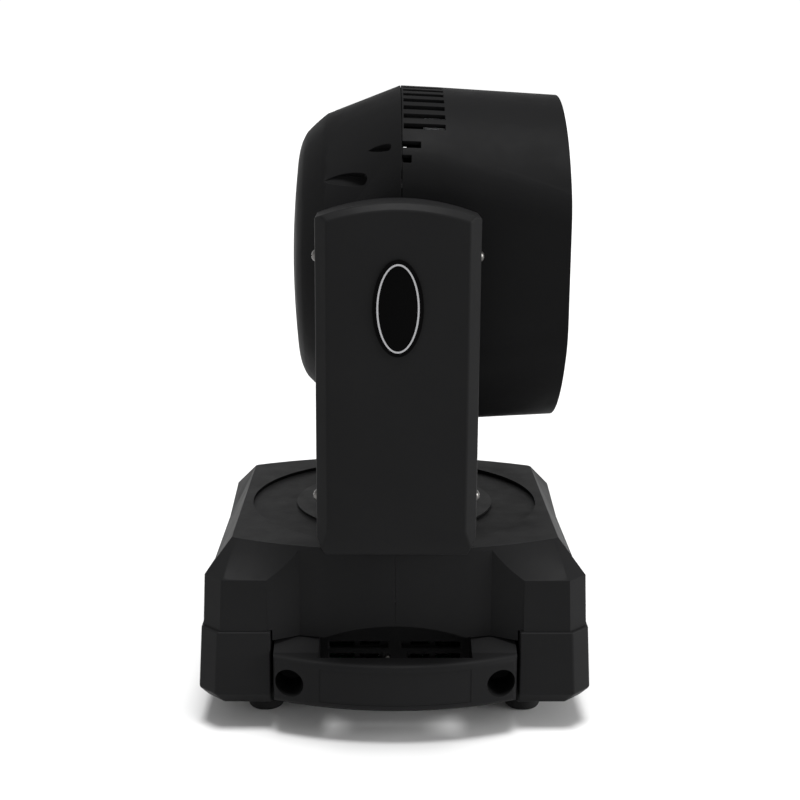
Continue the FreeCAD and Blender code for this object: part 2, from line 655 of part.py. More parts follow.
# ---------------------------------------------------------------- steel, bearing and pan drive

BEARING_LOW = "deck_height - deck_thickness - bearing_height - bearing_seat"
SHAFT_BOTTOM = "deck_height - deck_thickness - bearing_depth"
TURNTABLE_LOW = "plate_height - recess_depth + turntable_gap"
TURNTABLE_TOP = "plate_height + bridge_rise"
PULLEY_LOW = "deck_height + pulley_gap"
MOTOR_PULLEY = "pan_pulley_radius / pan_ratio"
MOTOR_X = "(case_length / 2 - motor_inset)"


def base_deck():
    """The steel plate that carries the pan bearing, on four pillars from the case floor."""
    low = ("-deck_length / 2", "-deck_width / 2", DECK_BOTTOM)
    plate = box("deck_plate", low, ("deck_length", "deck_width", "deck_thickness"))
    holes = [cylinder("deck_bore", ("0", "0", "0"), "shaft_radius + running_gap", "2 * deck_height"),
             cylinder("deck_motor_hole", (MOTOR_X, "0", "0"), MOTOR_PULLEY + " + running_gap",
                      "2 * deck_height")]
    collar = tube("deck_collar", ("0", "0", BEARING_LOW), "bearing_outer + bearing_collar",
                  "bearing_outer", "bearing_height + bearing_seat")
    node("base_deck", fuse("base_deck", [cut("deck_sheet", plate, holes), collar]))
    pillars = [cylinder("pillar", (x, y, FLOOR_TOP), "pillar_radius",
                        "%s - (%s)" % (DECK_BOTTOM, FLOOR_TOP))
               for x, y in grid("pillar_x", "pillar_y")]
    node("deck_pillars", group("deck_pillars", pillars))


def pan_bearing():
    start = ("0", "0", BEARING_LOW)
    node("pan_bearing_outer", tube("pan_bearing_outer", start, "bearing_outer",
                                   "bearing_outer - race_width", "bearing_height"))
    node("pan_bearing_inner", tube("pan_bearing_inner", start, "shaft_radius + race_width",
                                   "shaft_radius", "bearing_height"))
    ball = doc.addObject("Part::Sphere", "pan_ball")
    bind(ball, Radius="ball_radius")
    pitch = value("(shaft_radius + bearing_outer) / 2")
    height = value(BEARING_LOW + " + bearing_height / 2")
    count = int(value("ball_count"))
    places = []
    for number in range(count):
        turn = 2 * math.pi * number / count
        place = Vector(pitch * math.cos(turn), pitch * math.sin(turn), height)
        places.append(FreeCAD.Placement(place, Rotation()))
    copies("pan_bearing_balls", [(ball, places)])


def pulley(name, start, radius, width, axis, bore):
    """A flat-belt wheel with a flange at each end."""
    flange = "belt_thickness + belt_clearance + pulley_lip"
    wheel = cylinder(name + "_drum", start, radius, width, axis)
    rims = []
    rim = "(%s - belt_width) / 2 - belt_clearance" % width
    along = "xyz".index(axis)
    for step in ("0", "%s - (%s)" % (width, rim)):
        place = list(start)
        place[along] = plus(start[along], step)
        rims.append(cylinder(name + "_rim", place, plus(radius, flange), rim, axis))
    return cut(name, fuse(name + "_wheel", [wheel] + rims),
               [cylinder(name + "_bore", start, bore, width, axis)])


def belt_loop(name, large, small, spacing, width):
    """A closed belt in the XY plane: a large loop at the origin, a small one at x = spacing."""
    body = make_body(name)
    lean = "((%s) - (%s)) / (%s)" % (large, small, spacing)
    level = "sqrt(1 - (%s) ^ 2)" % lean
    for step, growth in (("outside", "belt_clearance + belt_thickness"), ("inside", "belt_clearance")):
        big, little = plus(large, growth), plus(small, growth)
        points = []
        for centre, radius in (("0", big), (spacing, little)):
            points.append((plus(centre, times(radius, lean)), times(radius, level)))
        (big_x, big_y), (small_x, small_y) = points
        corners = [(small_x, times(-1, small_y)), (plus(spacing, little), "0"), (small_x, small_y),
                   (big_x, big_y), (times(-1, big), "0"), (big_x, times(-1, big_y))]
        loop = outline(body, "%s_%s" % (name, step), "XY_Plane", corners, "0",
                       {0: little, 1: little, 3: big, 4: big})
        if step == "outside":
            pad(body, loop, width)
        else:
            pocket(body, loop, width, reverse=True)
    return body


def pan_drive():
    """The turntable with its boss and hollow shaft, and the belt drive that turns it."""
    shaft_length = "%s - (%s)" % (TURNTABLE_LOW, SHAFT_BOTTOM)
    disc = cylinder("turntable_disc", ("0", "0", TURNTABLE_LOW), "turntable_radius",
                    "turntable_thickness")
    hub = cylinder("turntable_boss", ("0", "0", TURNTABLE_LOW), "turntable_hub",
                   "%s - (%s)" % (TURNTABLE_TOP, TURNTABLE_LOW))
    neck = cylinder("turntable_neck", ("0", "0", SHAFT_BOTTOM), "shaft_radius", shaft_length)
    bore = cylinder("turntable_bore", ("0", "0", SHAFT_BOTTOM), "shaft_bore", "plate_height")
    node("turntable", cut("turntable", fuse("turntable_blank", [disc, hub, neck]), [bore]))
    node("pan_pulley", pulley("pan_pulley", ("0", "0", PULLEY_LOW), "pan_pulley_radius",
                              "pulley_height", "z", "shaft_radius"))
    small = pulley("pan_motor_wheel", (MOTOR_X, "0", PULLEY_LOW), MOTOR_PULLEY, "pulley_height", "z",
                   "motor_shaft_radius")
    rise = "%s + pulley_height - (%s)" % (PULLEY_LOW, DECK_BOTTOM)
    spindle = cylinder("pan_motor_shaft", (MOTOR_X, "0", DECK_BOTTOM + " + fit"),
                       "motor_shaft_radius", rise + " - fit")
    node("pan_motor_pulley", group("pan_motor_pulley", [small, spindle]))
    low = (MOTOR_X + " - motor_side / 2", "-motor_side / 2", DECK_BOTTOM + " - pan_motor_length")
    node("pan_motor", box("pan_motor", low, ("motor_side", "motor_side", "pan_motor_length")))
    belt = belt_loop("pan_belt", "pan_pulley_radius", MOTOR_PULLEY, MOTOR_X, "belt_width")
    bind(belt, Placement__Base__z=PULLEY_LOW + " + (pulley_height - belt_width) / 2")
    node("pan_belt", belt)


# ---------------------------------------------------------------- panels of the base

PANEL_MIDDLE = "(panel_low + panel_high) / 2"
PANEL_FACE = "case_length / 2 - panel_depth"
PANEL_INSIDE = PANEL_FACE + " - panel_thickness"
SOCKET_STEPS = {"signal_input": -1.25, "signal_output": -0.35, "power_inlet": 0.6, "fuse_holder": 1.4}


def panel_tray(name, side, tools, extras=()):
    """A plate set back in the case wall, with a rim that fills the opening's edge."""
    depth = "panel_thickness + panel_depth + panel_rim"
    low_x = PANEL_INSIDE if side > 0 else "-1 * (%s) - (%s)" % (PANEL_INSIDE, depth)
    half, low, high = "(panel_half - half_gap)", "(panel_low + half_gap)", "(panel_high - half_gap)"
    block = box(name + "_block", (low_x, "-" + half, low), (depth, "2 * " + half, high + " - " + low))
    well_x = PANEL_FACE if side > 0 else "-2 * case_length"
    well = box(name + "_well", (well_x, "-%s + panel_wall" % half, low + " + panel_wall"),
               ("2 * case_length - (%s)" % PANEL_FACE, "2 * %s - 2 * panel_wall" % half,
                "%s - %s - 2 * panel_wall" % (high, low)))
    tray = cut(name + "_tray", block, [well] + tools)
    node(name, fuse(name, [tray] + list(extras)) if extras else tray)


def menu_button(number):
    """A round button with a collar behind the panel, and the hole it slides in."""
    column, row = number % 2, number // 2
    y = "-button_first - %d * button_pitch" % column
    z = "%s + %d * button_rise" % (PANEL_MIDDLE, 1 - 2 * row)
    label, edge = "menu_button_%d" % (number + 1), "button_travel + fit"
    cap = cylinder(label + "_cap", (PANEL_INSIDE, y, z), "button_radius",
                   "panel_thickness + button_proud", "x")
    collar = cylinder(label + "_collar", ("%s - (%s)" % (PANEL_INSIDE, edge), y, z),
                      "button_radius + panel_wall", edge, "x")
    node(label, fuse(label, [cap, collar]))
    return cylinder("button_hole", (PANEL_INSIDE, y, z), "button_radius + 2 * fit",
                    "panel_thickness", "x")


def front_panel():
    """The display window and four round menu buttons on the +X side of the base."""
    window = (PANEL_INSIDE, "window_at - window_length / 2", PANEL_MIDDLE + " - window_height / 2")
    tools = [box("window_opening", window, ("panel_thickness", "window_length", "window_height"))]
    pane = (PANEL_INSIDE, plus(window[1], "fit"), plus(window[2], "fit"))
    node("display_window", box("display_window", pane,
                               ("panel_thickness - window_recess", "window_length - 2 * fit",
                                "window_height - 2 * fit")))
    tools += [menu_button(number) for number in range(4)]
    gap = "2 * button_travel + fit"
    board = ("%s - (%s) - board_thickness" % (PANEL_INSIDE, gap), "-panel_half + panel_lap",
             "panel_low + panel_lap")
    node("display_board", box("display_board", board,
                              ("board_thickness", "2 * panel_half - 2 * panel_lap",
                               "panel_high - panel_low - 2 * panel_lap")))
    posts = []
    for y in both("panel_half - 2 * panel_lap"):
        for z in ("panel_low + 2 * panel_lap", "panel_high - 2 * panel_lap"):
            posts.append(cylinder("panel_post", ("%s - (%s)" % (PANEL_INSIDE, gap), y, z),
                                  "screw_radius", gap, "x"))
    panel_tray("front_panel", 1, tools, posts)


def socket_y(name):
    return "%g * socket_pitch" % SOCKET_STEPS[name]


def socket(name, back):
    """A round connector with a square flange: pins in an open mouth, or holes in an insert."""
    y = socket_y(name)
    plate = box(name + "_flange",
                (back + " - socket_flange", y + " - socket_side / 2",
                 PANEL_MIDDLE + " - socket_height / 2"),
                ("socket_flange", "socket_side", "socket_height"))
    barrel = cylinder(name + "_barrel", (back, y, PANEL_MIDDLE), "socket_bore + socket_wall - fit",
                      "socket_depth + socket_wall", "x")
    mouth = cylinder(name + "_mouth", (back + " - socket_flange", y, PANEL_MIDDLE), "socket_bore",
                     "socket_depth + socket_flange", "x")
    shell = cut(name + "_shell", fuse(name + "_solid", [plate, barrel]), [mouth])
    if name != "signal_output":
        return fuse(name, [shell] + socket_pins(name, y, back + " + pin_start", "0"))
    core = cylinder(name + "_core", (back, y, PANEL_MIDDLE), "socket_bore - socket_flange",
                    "socket_depth", "x")
    holes = socket_pins(name, y, back + " - pin_radius", "pin_clearance")
    return fuse(name, [shell, cut(name + "_insert", core, holes)])


def socket_pins(name, y, start, clearance):
    pins = []
    for number in range(3):
        turn = math.radians(90 + 120 * number)
        place = (start, "%s + pin_ring * %.6f" % (y, math.cos(turn)),
                 "%s + pin_ring * %.6f" % (PANEL_MIDDLE, math.sin(turn)))
        pins.append(cylinder(name + "_pin", place, "pin_radius + " + clearance,
                             "socket_depth - socket_wall", "x"))
    return pins


def rear_panel():
    """Signal in and out, a mains inlet and a fuse holder on the -X side of the base."""
    back = "-1 * (%s)" % PANEL_FACE
    tools = []
    for name in ("signal_input", "signal_output", "power_inlet"):
        tools.append(cylinder("socket_hole", (back, socket_y(name), PANEL_MIDDLE),
                              "socket_bore + socket_wall", "panel_thickness", "x"))
        node(name, socket(name, back))
    y = socket_y("fuse_holder")
    tools.append(cylinder("fuse_hole", (back, y, PANEL_MIDDLE), "fuse_radius - panel_wall",
                          "panel_thickness", "x"))
    cap = cylinder("fuse_cap_knob", (back + " - fuse_cap", y, PANEL_MIDDLE), "fuse_radius",
                   "fuse_cap", "x")
    barrel = cylinder("fuse_barrel", (back, y, PANEL_MIDDLE), "fuse_radius - panel_wall - fit",
                      "fuse_length", "x")
    node("fuse_holder", fuse("fuse_holder", [cap, barrel]))
    panel_tray("rear_panel", -1, tools)


# ---------------------------------------------------------------- electronics and fans

def base_electronics():
    """The power supply and the control board side by side on the case floor.

    The supply lies halfway between the end of the fuse holder and the pan motor."""
    middle = "((fuse_length - (%s)) + (%s - motor_side / 2)) / 2" % (PANEL_FACE, MOTOR_X)
    side = middle + " - supply_length / 2"
    node("power_supply", box("power_supply", (side, "board_thickness", FLOOR_TOP),
                             ("supply_length", "supply_width", "supply_height")))
    low_y = "-board_width - 2 * board_thickness"
    board = box("board_plate", (side, low_y, FLOOR_TOP + " + standoff"),
                ("board_length", "board_width", "board_thickness"))
    pieces = [board]
    for dx in ("standoff_inset", "board_length - standoff_inset"):
        for dy in ("standoff_inset", "board_width - standoff_inset"):
            pieces.append(cylinder("board_post", (plus(side, dx), plus(low_y, dy), FLOOR_TOP),
                                   "standoff_radius", "standoff"))
    for number in range(4):
        pieces.append(box("board_chip", (plus(side, "chip_first + %d * chip_pitch" % number),
                                         "-(board_width + chip_width) / 2",
                                         FLOOR_TOP + " + standoff + board_thickness"),
                          ("chip_length", "chip_width", "chip_height")))
    node("control_board", fuse("control_board", pieces))


def fan_frame(label, low, side, depth, axis, holes=()):
    """A square frame with a round duct and a hub carried on two spokes."""
    centre = [plus(start, side + " / 2") for start in low]
    along = "xyz".index(axis)
    centre[along] = low[along]
    size = [side] * 3
    size[along] = depth
    frame = cut(label + "_ring", box(label + "_block", low, size),
                [cylinder(label + "_duct", centre, side + " / 2 - fan_ring", depth, axis)])
    across = (along + 1) % 3
    spoke, start = [side] * 3, list(low)
    spoke[along], spoke[across] = "fan_ring", "2 * fan_ring"
    start[across] = plus(low[across], side + " / 2 - fan_ring")
    hub = cylinder(label + "_plate", centre, side + " * fan_hub / 2", "fan_ring", axis)
    whole = fuse(label, [frame, box(label + "_spoke", start, spoke), hub])
    node(label, cut(label + "_bored", whole, list(holes)) if holes else whole)


def fan_rotor(label, centre, side, depth, axis):
    """A hub with flat pitched blades, turned about its own axis."""
    radius = value(side + " / 2 - fan_ring - running_gap")
    hub_radius = value(side + " * fan_hub / 2")
    length = value(depth + " - fan_ring - 2 * running_gap")
    thickness, pitch = value("blade_thickness"), value("blade_angle")
    shape = Part.makeCylinder(hub_radius, length)
    count = int(value("fan_blades"))
    for number in range(count):
        blade = Part.makeBox(radius - hub_radius + thickness, thickness, 2 * length)
        blade.translate(Vector(hub_radius - thickness, -thickness / 2, -length))
        blade.rotate(Vector(), Vector(1, 0, 0), pitch)
        blade.translate(Vector(0, 0, length / 2))
        blade.rotate(Vector(), Vector(0, 0, 1), 360 * number / count)
        shape = shape.fuse(blade)
    item = doc.addObject("Part::Feature", label)
    item.Shape = shape.common(Part.makeCylinder(radius, length)).removeSplitter()
    item.Placement = FreeCAD.Placement(Vector(*[value(text) for text in centre]), AXIS_TURN[axis])
    node(label, item)


def fans():
    low = ("-base_fan_side / 2", "-handle_bay_wall + case_wall", FLOOR_TOP + " + base_fan_rise")
    fan_frame("base_fan_frame", low, "base_fan_side", "base_fan_depth", "y",
              [vent_screw_hole("hub_plate_hole")])
    centre = ("0", plus(low[1], "fan_ring + running_gap"), plus(low[2], "base_fan_side / 2"))
    fan_rotor("base_fan_rotor", centre, "base_fan_side", "base_fan_depth", "y")
    low = ("fin_start - head_fan_depth", "-head_fan_side / 2", "tilt_height - head_fan_side / 2")
    fan_frame("head_fan_frame", low, "head_fan_side", "head_fan_depth", "x")
    centre = (plus(low[0], "fan_ring + running_gap"), "0", "tilt_height")
    fan_rotor("head_fan_rotor", centre, "head_fan_side", "head_fan_depth", "x")


# ---------------------------------------------------------------- yoke

ARM_ARC = "(arm_half ^ 2 + (arm_top - arm_corner_height) ^ 2) / (2 * (arm_top - arm_corner_height))"
LID_OUTER = "arm_inner + lid_thickness"
ARM_SCREW_OUT = "arm_outer - arm_screw_inset"
PLATE_FACE = "(%s + plate_steel)" % LID_OUTER
FLANGE_DEPTH = "(arm_outer - arm_wall - flange_gap - (%s))" % LID_OUTER


def arm_outline(body, name, inset, offset):
    """The arm seen along Y: straight sides, an arched top and cut lower corners."""
    half = "arm_half - (%s)" % inset
    low, high = "arm_bottom + (%s)" % inset, "arm_corner_height - (%s)" % inset
    foot, rise = plus(half, "-arm_foot_corner"), plus(low, "arm_foot_rise")
    corners = [(half, high), (times(-1, half), high), (times(-1, half), rise),
               (times(-1, foot), low), (foot, low), (half, rise)]
    return outline(body, name, "XZ_Plane", corners, offset, {0: plus(ARM_ARC, times(-1, inset))})


def arm_form(name, side, inset):
    """An arm cover's solid shape, or its hollow when inset is the wall."""
    body = make_body(name)
    face = arm_outline(body, name + "_face", inset, times(-side, LID_OUTER))
    pad(body, face, "arm_outer - (%s) - (%s)" % (LID_OUTER, inset), reverse=side > 0)
    outer, shoulder = "arm_outer - (%s)" % inset, "arm_outer - arm_crown - (%s)" % inset
    for end in (-1, 1):
        corners = [("arm_face_half", outer), ("arm_half", shoulder),
                   ("arm_half", "arm_outer + arm_crown"), ("arm_face_half", "arm_outer + arm_crown")]
        corners = [(times(end, x), times(side, y)) for x, y in corners]
        crown = outline(body, "%s_crown_%d" % (name, end + 1), "XY_Plane", corners)
        pocket(body, crown, "2 * arm_top", reverse=True)
    sides = value("arm_half - (%s)" % inset)
    inner = value(LID_OUTER)
    soften(body, "Chamfer", name + "_sides", "arm_side_bevel - (%s) / 2" % inset,
           lambda edge: all(abs(abs(vertex.X) - sides) < 1e-4 and abs(vertex.Y) > inner + 1
                            for vertex in edge.Vertexes) and edge.BoundBox.XLength < 1e-4)
    if value(inset) == 0:
        crest, face = value("arm_corner_height"), value("arm_outer - arm_crown")
        soften(body, "Chamfer", name + "_crest", "arm_top_bevel",
               lambda edge: all(vertex.Z > crest - 1 and abs(vertex.Y) > face - 1e-4
                                for vertex in edge.Vertexes))
    rise, run_out = "arm_bottom + arm_foot_height + (%s)" % inset, "arm_outer + arm_wall"
    corners = [(run_out, rise), (outer, rise), (outer + " - arm_foot_lean", "arm_bottom"),
               (run_out, "arm_bottom")]
    foot = outline(body, name + "_foot", "YZ_Plane", [(times(side, y), z) for y, z in corners],
                   "-arm_half")
    pocket(body, foot, "2 * arm_half", reverse=True)
    return body


def arm_screw_holes(name, side, radius):
    return [cylinder(name, ("-arm_half", times(side, ARM_SCREW_OUT), height), radius,
                     "2 * arm_half", "x")
            for height in ("arm_screw_high", "arm_screw_low")]


def arm(label, side):
    """One arm: outer cover, inner lid and the steel channel that carries the head."""
    hollow = arm_form(label + "_hollow", side, "arm_wall")
    slot_low = LID_OUTER if side > 0 else "-(%s) - plate_steel - hole_clearance" % LID_OUTER
    slot = box(label + "_slot", ("-bridge_half - hole_clearance", slot_low, "0"),
               ("2 * bridge_half + 2 * hole_clearance", "plate_steel + hole_clearance",
                "arm_bottom + 2 * arm_wall"))
    tools = [hollow, slot] + arm_screw_holes(label + "_screw_hole", side, SCREW_HOLE)
    node("arm_cover_" + label, cut("arm_cover_" + label, arm_form(label + "_outside", side, "0"), tools))
    lid = make_body(label + "_lid_blank")
    pad(lid, arm_outline(lid, label + "_lid_face", "0", times(-side, "arm_inner")), "lid_thickness",
        reverse=side > 0)
    hole = cylinder(label + "_lid_hole", ("0", "-arm_outer", "tilt_height"),
                    "trunnion_radius + running_gap", "2 * arm_outer", "y")
    node("arm_lid_" + label, cut("arm_lid_" + label, lid, [hole]))
    return arm_plate(label, side)


def arms():
    plates, bearings = zip(arm("near", -1), arm("far", 1))
    node("arm_plates", group("arm_plates", list(plates)))
    node("tilt_bearings", group("tilt_bearings", list(bearings)))


def arm_plate(label, side):
    """The steel channel inside an arm with its bearing seat, and the bearing."""
    def outward(depth):
        return LID_OUTER if side > 0 else "-1 * (%s) - (%s)" % (LID_OUTER, depth)

    low_z = TURNTABLE_TOP + " + bridge_steel"
    rise = "arm_bottom + arm_wall + arm_foot_rise"
    height = "plate_top - (%s)" % rise
    half = "(arm_half - arm_wall - hole_clearance)"
    pieces = [box(label + "_tab", ("-bridge_half", outward("plate_steel"), low_z),
                  ("2 * bridge_half", "plate_steel", "plate_top - (%s)" % low_z)),
              box(label + "_web", ("-" + half, outward("plate_steel"), rise),
                  ("2 * " + half, "plate_steel", height))]
    for x in ("-" + half, half + " - plate_steel"):
        pieces.append(box(label + "_flange", (x, outward(FLANGE_DEPTH), rise),
                          ("plate_steel", FLANGE_DEPTH, height)))
    depth = "plate_steel + tilt_bearing_width"
    start = ("0", outward(depth), "tilt_height")
    pieces.append(cylinder(label + "_hub", start, "tilt_bearing_outer + plate_steel", depth, "y"))
    holes = [cylinder(label + "_seat", start, "tilt_bearing_outer", depth, "y")]
    holes += arm_screw_holes(label + "_thread", side, "screw_radius")
    bearing = tube(label + "_bearing", ("0", plus(start[1], "plate_steel / 2"), "tilt_height"),
                   "tilt_bearing_outer", "trunnion_radius + fit", "tilt_bearing_width", "y")
    return cut("arm_plate_" + label, fuse(label + "_channel", pieces), holes), bearing


def yoke_bridge():
    """The steel strap that joins the arms over the turntable, and its plastic lid."""
    span = "2 * (%s) + 2 * plate_steel" % LID_OUTER
    plate = box("bridge_plate", ("-bridge_half", "-(%s) / 2" % span, TURNTABLE_TOP),
                ("2 * bridge_half", span, "bridge_steel"))
    bore = cylinder("bridge_bore", ("0", "0", TURNTABLE_TOP), "shaft_bore", "bridge_steel")
    node("yoke_bridge", cut("yoke_bridge", plate, [bore]))
    low = ("-arm_half", "-arm_inner", TURNTABLE_TOP + " + bridge_steel")
    rise = "bridge_cover_top - (%s)" % low[2]
    lid = box("bridge_lid", low, ("2 * arm_half", "2 * arm_inner", rise))
    hollow = box("bridge_hollow", ("-arm_half + arm_wall", "-arm_inner + arm_wall", low[2]),
                 ("2 * arm_half - 2 * arm_wall", "2 * arm_inner - 2 * arm_wall", rise + " - arm_wall"))
    node("bridge_cover", cut("bridge_cover", lid, [hollow]))


def oval(name, inset, side, height):
    """An upright oval plate on the outer face of an arm."""
    face = doc.addObject("Part::Ellipse", name + "_edge")
    bind(face, MajorRadius="badge_half_height - (%s)" % inset,
         MinorRadius="badge_half_width - (%s)" % inset, Placement__Base__z="badge_height",
         Placement__Base__y=times(side, "arm_outer"))
    face.Placement.Rotation = Rotation(Vector(0, 0, 1), Vector(1, 0, 0), Vector(0, 1, 0), "XYZ")
    plate = doc.addObject("Part::Extrusion", name)
    plate.Base = face
    plate.DirMode = "Custom"
    plate.Dir = Vector(0, side, 0)
    plate.Solid = True
    return bind(plate, LengthFwd=height)


def badges():
    """An oval emblem plate on each arm: a black rim, a bright ring and a plain domed face."""
    rings, faces = [], []
    for label, side in (("near", -1), ("far", 1)):
        ring, rim, dome = badge(label, side)
        rings.append(ring)
        faces += [rim, dome]
    node("badge_rings", group("badge_rings", rings))
    node("badge_domes", group("badge_domes", faces))


def oval_ring(name, side, inset, width, height):
    return cut(name, oval(name + "_outside", inset, side, height),
               [oval(name + "_inside", plus(inset, width), side, height)])


def badge(label, side):
    rim = oval_ring("badge_rim_" + label, side, "0", "badge_rim", "badge_rim_height")
    ring = oval_ring("badge_ring_" + label, side, "badge_rim + fit", "badge_ring",
                     "badge_ring_height")
    inset = "badge_rim + badge_ring + 2 * fit"
    plug = oval("badge_plug_" + label, inset, side, "badge_dome")
    bulge = "(badge_dome - badge_rim_height) / (1 - sqrt(3) / 2)"
    ball = doc.addObject("Part::Ellipsoid", "badge_ball_" + label)
    ball.Angle1, ball.Angle2, ball.Angle3 = -90, 90, 360
    ball.Placement.Rotation = Rotation(Vector(1, 0, 0), 90)
    bind(ball, Radius2="2 * (badge_half_width - (%s))" % inset,
         Radius3="2 * (badge_half_height - (%s))" % inset, Radius1=bulge,
         Placement__Base__z="badge_height",
         Placement__Base__y=times(side, "arm_outer + badge_dome - " + bulge))
    return ring, rim, common("badge_dome_" + label, plug, ball)


def tilt_drive():
    """A flat stepper motor on the near arm's plate, its pulley, the head's pulley and the belt."""
    height = "tilt_height - tilt_motor_drop"
    wheel_low = "-1 * (arm_outer - arm_wall - tilt_cover_gap)"
    front = plus(wheel_low, "tilt_pulley_width + running_gap")
    low = ("-motor_side / 2", front, height + " - motor_side / 2")
    node("tilt_motor", box("tilt_motor", low,
                           ("motor_side", "-1 * %s - (%s)" % (PLATE_FACE, front), "motor_side")))
    small = pulley("tilt_motor_wheel", ("0", wheel_low, height), "tilt_pulley_radius / tilt_ratio",
                   "tilt_pulley_width", "y", "motor_shaft_radius")
    spindle = cylinder("tilt_motor_shaft", ("0", wheel_low, height), "motor_shaft_radius",
                       "tilt_pulley_width + running_gap - fit", "y")
    node("tilt_motor_pulley", group("tilt_motor_pulley", [small, spindle]))
    node("tilt_pulley", pulley("tilt_pulley", ("0", wheel_low, "tilt_height"), "tilt_pulley_radius",
                               "tilt_pulley_width", "y", "trunnion_radius"))
    belt = belt_loop("tilt_belt", "tilt_pulley_radius", "tilt_pulley_radius / tilt_ratio",
                     "tilt_motor_drop", "belt_width")
    belt.Placement.Rotation = Rotation(Vector(1, 0, 0), -90) * Rotation(Vector(0, 0, 1), 90)
    bind(belt, Placement__Base__y="%s + (tilt_pulley_width - belt_width) / 2" % wheel_low,
         Placement__Base__z="tilt_height")
    node("tilt_belt", belt)
    return wheel_low


# ---------------------------------------------------------------- head

SPLIT_FRONT = "split + split_gap / 2"
SPLIT_REAR = "split - split_gap / 2"


def cheeked_section(body, name, at, radius, inset, flat):
    """A circle about the head's axis with a flat at each side and soft corners beside it."""
    big = "(%s) - (%s)" % (radius, inset)
    edge = "(%s) - (%s)" % (flat, inset)
    corner = "cheek_corner - (%s)" % inset
    rise = "sqrt(((%s) - (%s)) ^ 2 - ((%s) - (%s)) ^ 2)" % (big, corner, edge, corner)
    share = "(%s) / ((%s) - (%s))" % (big, big, corner)
    meet_y, meet_z = "((%s) - (%s)) * %s" % (edge, corner, share), "(%s) * %s" % (rise, share)
    quarter = [(edge, rise), (meet_y, meet_z)]
    corners = [(y, z) for y, z in quarter]
    corners += [(times(-1, y), z) for y, z in reversed(quarter)]
    corners += [(times(-1, y), times(-1, z)) for y, z in quarter]
    corners += [(y, times(-1, z)) for y, z in reversed(quarter)]
    corners = [(y, plus("tilt_height", z)) for y, z in corners]
    arcs = {0: corner, 1: big, 2: corner, 4: corner, 5: big, 6: corner}
    return outline(body, name, "YZ_Plane", corners, at, arcs)


def cheeked_loft(name, inset, stations):
    body = make_body(name)
    loft(body, [cheeked_section(body, "%s_%d" % (name, number), at, radius, inset, flat)
                for number, (at, radius, flat) in enumerate(stations)], name + "_loft")
    return body


def front_form(name, inset, start, end):
    return cheeked_loft(name, inset, [(start, "head_radius", "cheek"),
                                      ("head_waist_at", "head_waist_radius", "cheek"),
                                      (end, "rim_radius", "rim_cheek")])


def radial_box(name, start, end, width, angle):
    """A cutter through the head's shell at an angle from the top, towards -Y."""
    item = doc.addObject("Part::Box", name)
    bind(item, Length="(%s) - (%s)" % (end, start), Width=width, Height="2 * cutter_reach")
    turn = Rotation(Vector(1, 0, 0), angle)
    corner = turn.multVec(Vector(0, -value(width) / 2, value("head_radius - cutter_reach")))
    item.Placement = FreeCAD.Placement(
        Vector(value(start), corner.y, corner.z + value("tilt_height")), turn)
    return item


def front_cutters():
    """Louvres over the top and bottom of the front shell, and two short notches beside them."""
    tools = []
    count = int(value("slot_count"))
    for half in (0, 180):
        for number in range(count):
            angle = half + (number - (count - 1) / 2) * value("slot_angle")
            tools.append(radial_box("louvre", "slot_start", "slot_end", "slot_width", angle))
    for side in (-1, 1):
        for angle, end in (("notch_upper_angle", "notch_long"), ("notch_lower_angle", "notch_short")):
            tools.append(radial_box("notch", "split", end, "notch_height", side * value(angle)))
    return tools


def head_front_shell():
    outside = front_form("front_outside", "0", SPLIT_FRONT, "rim_at")
    hollow = front_form("front_hollow", "shell_wall", SPLIT_FRONT + " - shell_wall",
                        "rim_at + shell_wall")
    node("head_front_shell", cut("head_front_shell", outside,
                                 [hollow] + front_cutters() + [trunnion_hole()]))


def trunnion_hole():
    return cylinder("trunnion_hole", ("0", "-head_radius", "tilt_height"),
                    "trunnion_radius + hole_clearance", "2 * head_radius", "y")


def rear_form(name, inset, end):
    """A cheeked frustum behind the split, closed by a turned, slightly domed back."""
    corner_flat = "min(cheek; rear_corner_radius - cheek_fade)"
    body = cheeked_loft(name, inset, [(end, "head_radius", "cheek"),
                                      ("-rear_corner_at + (%s) / 2" % inset, "rear_corner_radius",
                                       corner_flat)])
    profile = [("rear_corner_at", "rear_corner_radius"), ("rear_edge_at", "rear_edge_radius"),
               ("rear_soft_at", "rear_soft_radius"), ("rear_end", "0")]
    corners = [(plus("-" + at, inset if number else "(%s) / 2" % inset),
                plus(radius, times(-1, inset)) if radius != "0" else "0")
               for number, (at, radius) in enumerate(profile)]
    corners.append((corners[0][0], "0"))
    back = outline(body, name + "_back", "XZ_Plane", corners, "0",
                   {0: "rear_edge_arc", 1: "rear_soft_arc", 2: "rear_back_arc"})
    bind(back, AttachmentOffset__Base__y="tilt_height")
    revolve(body, back)
    return body


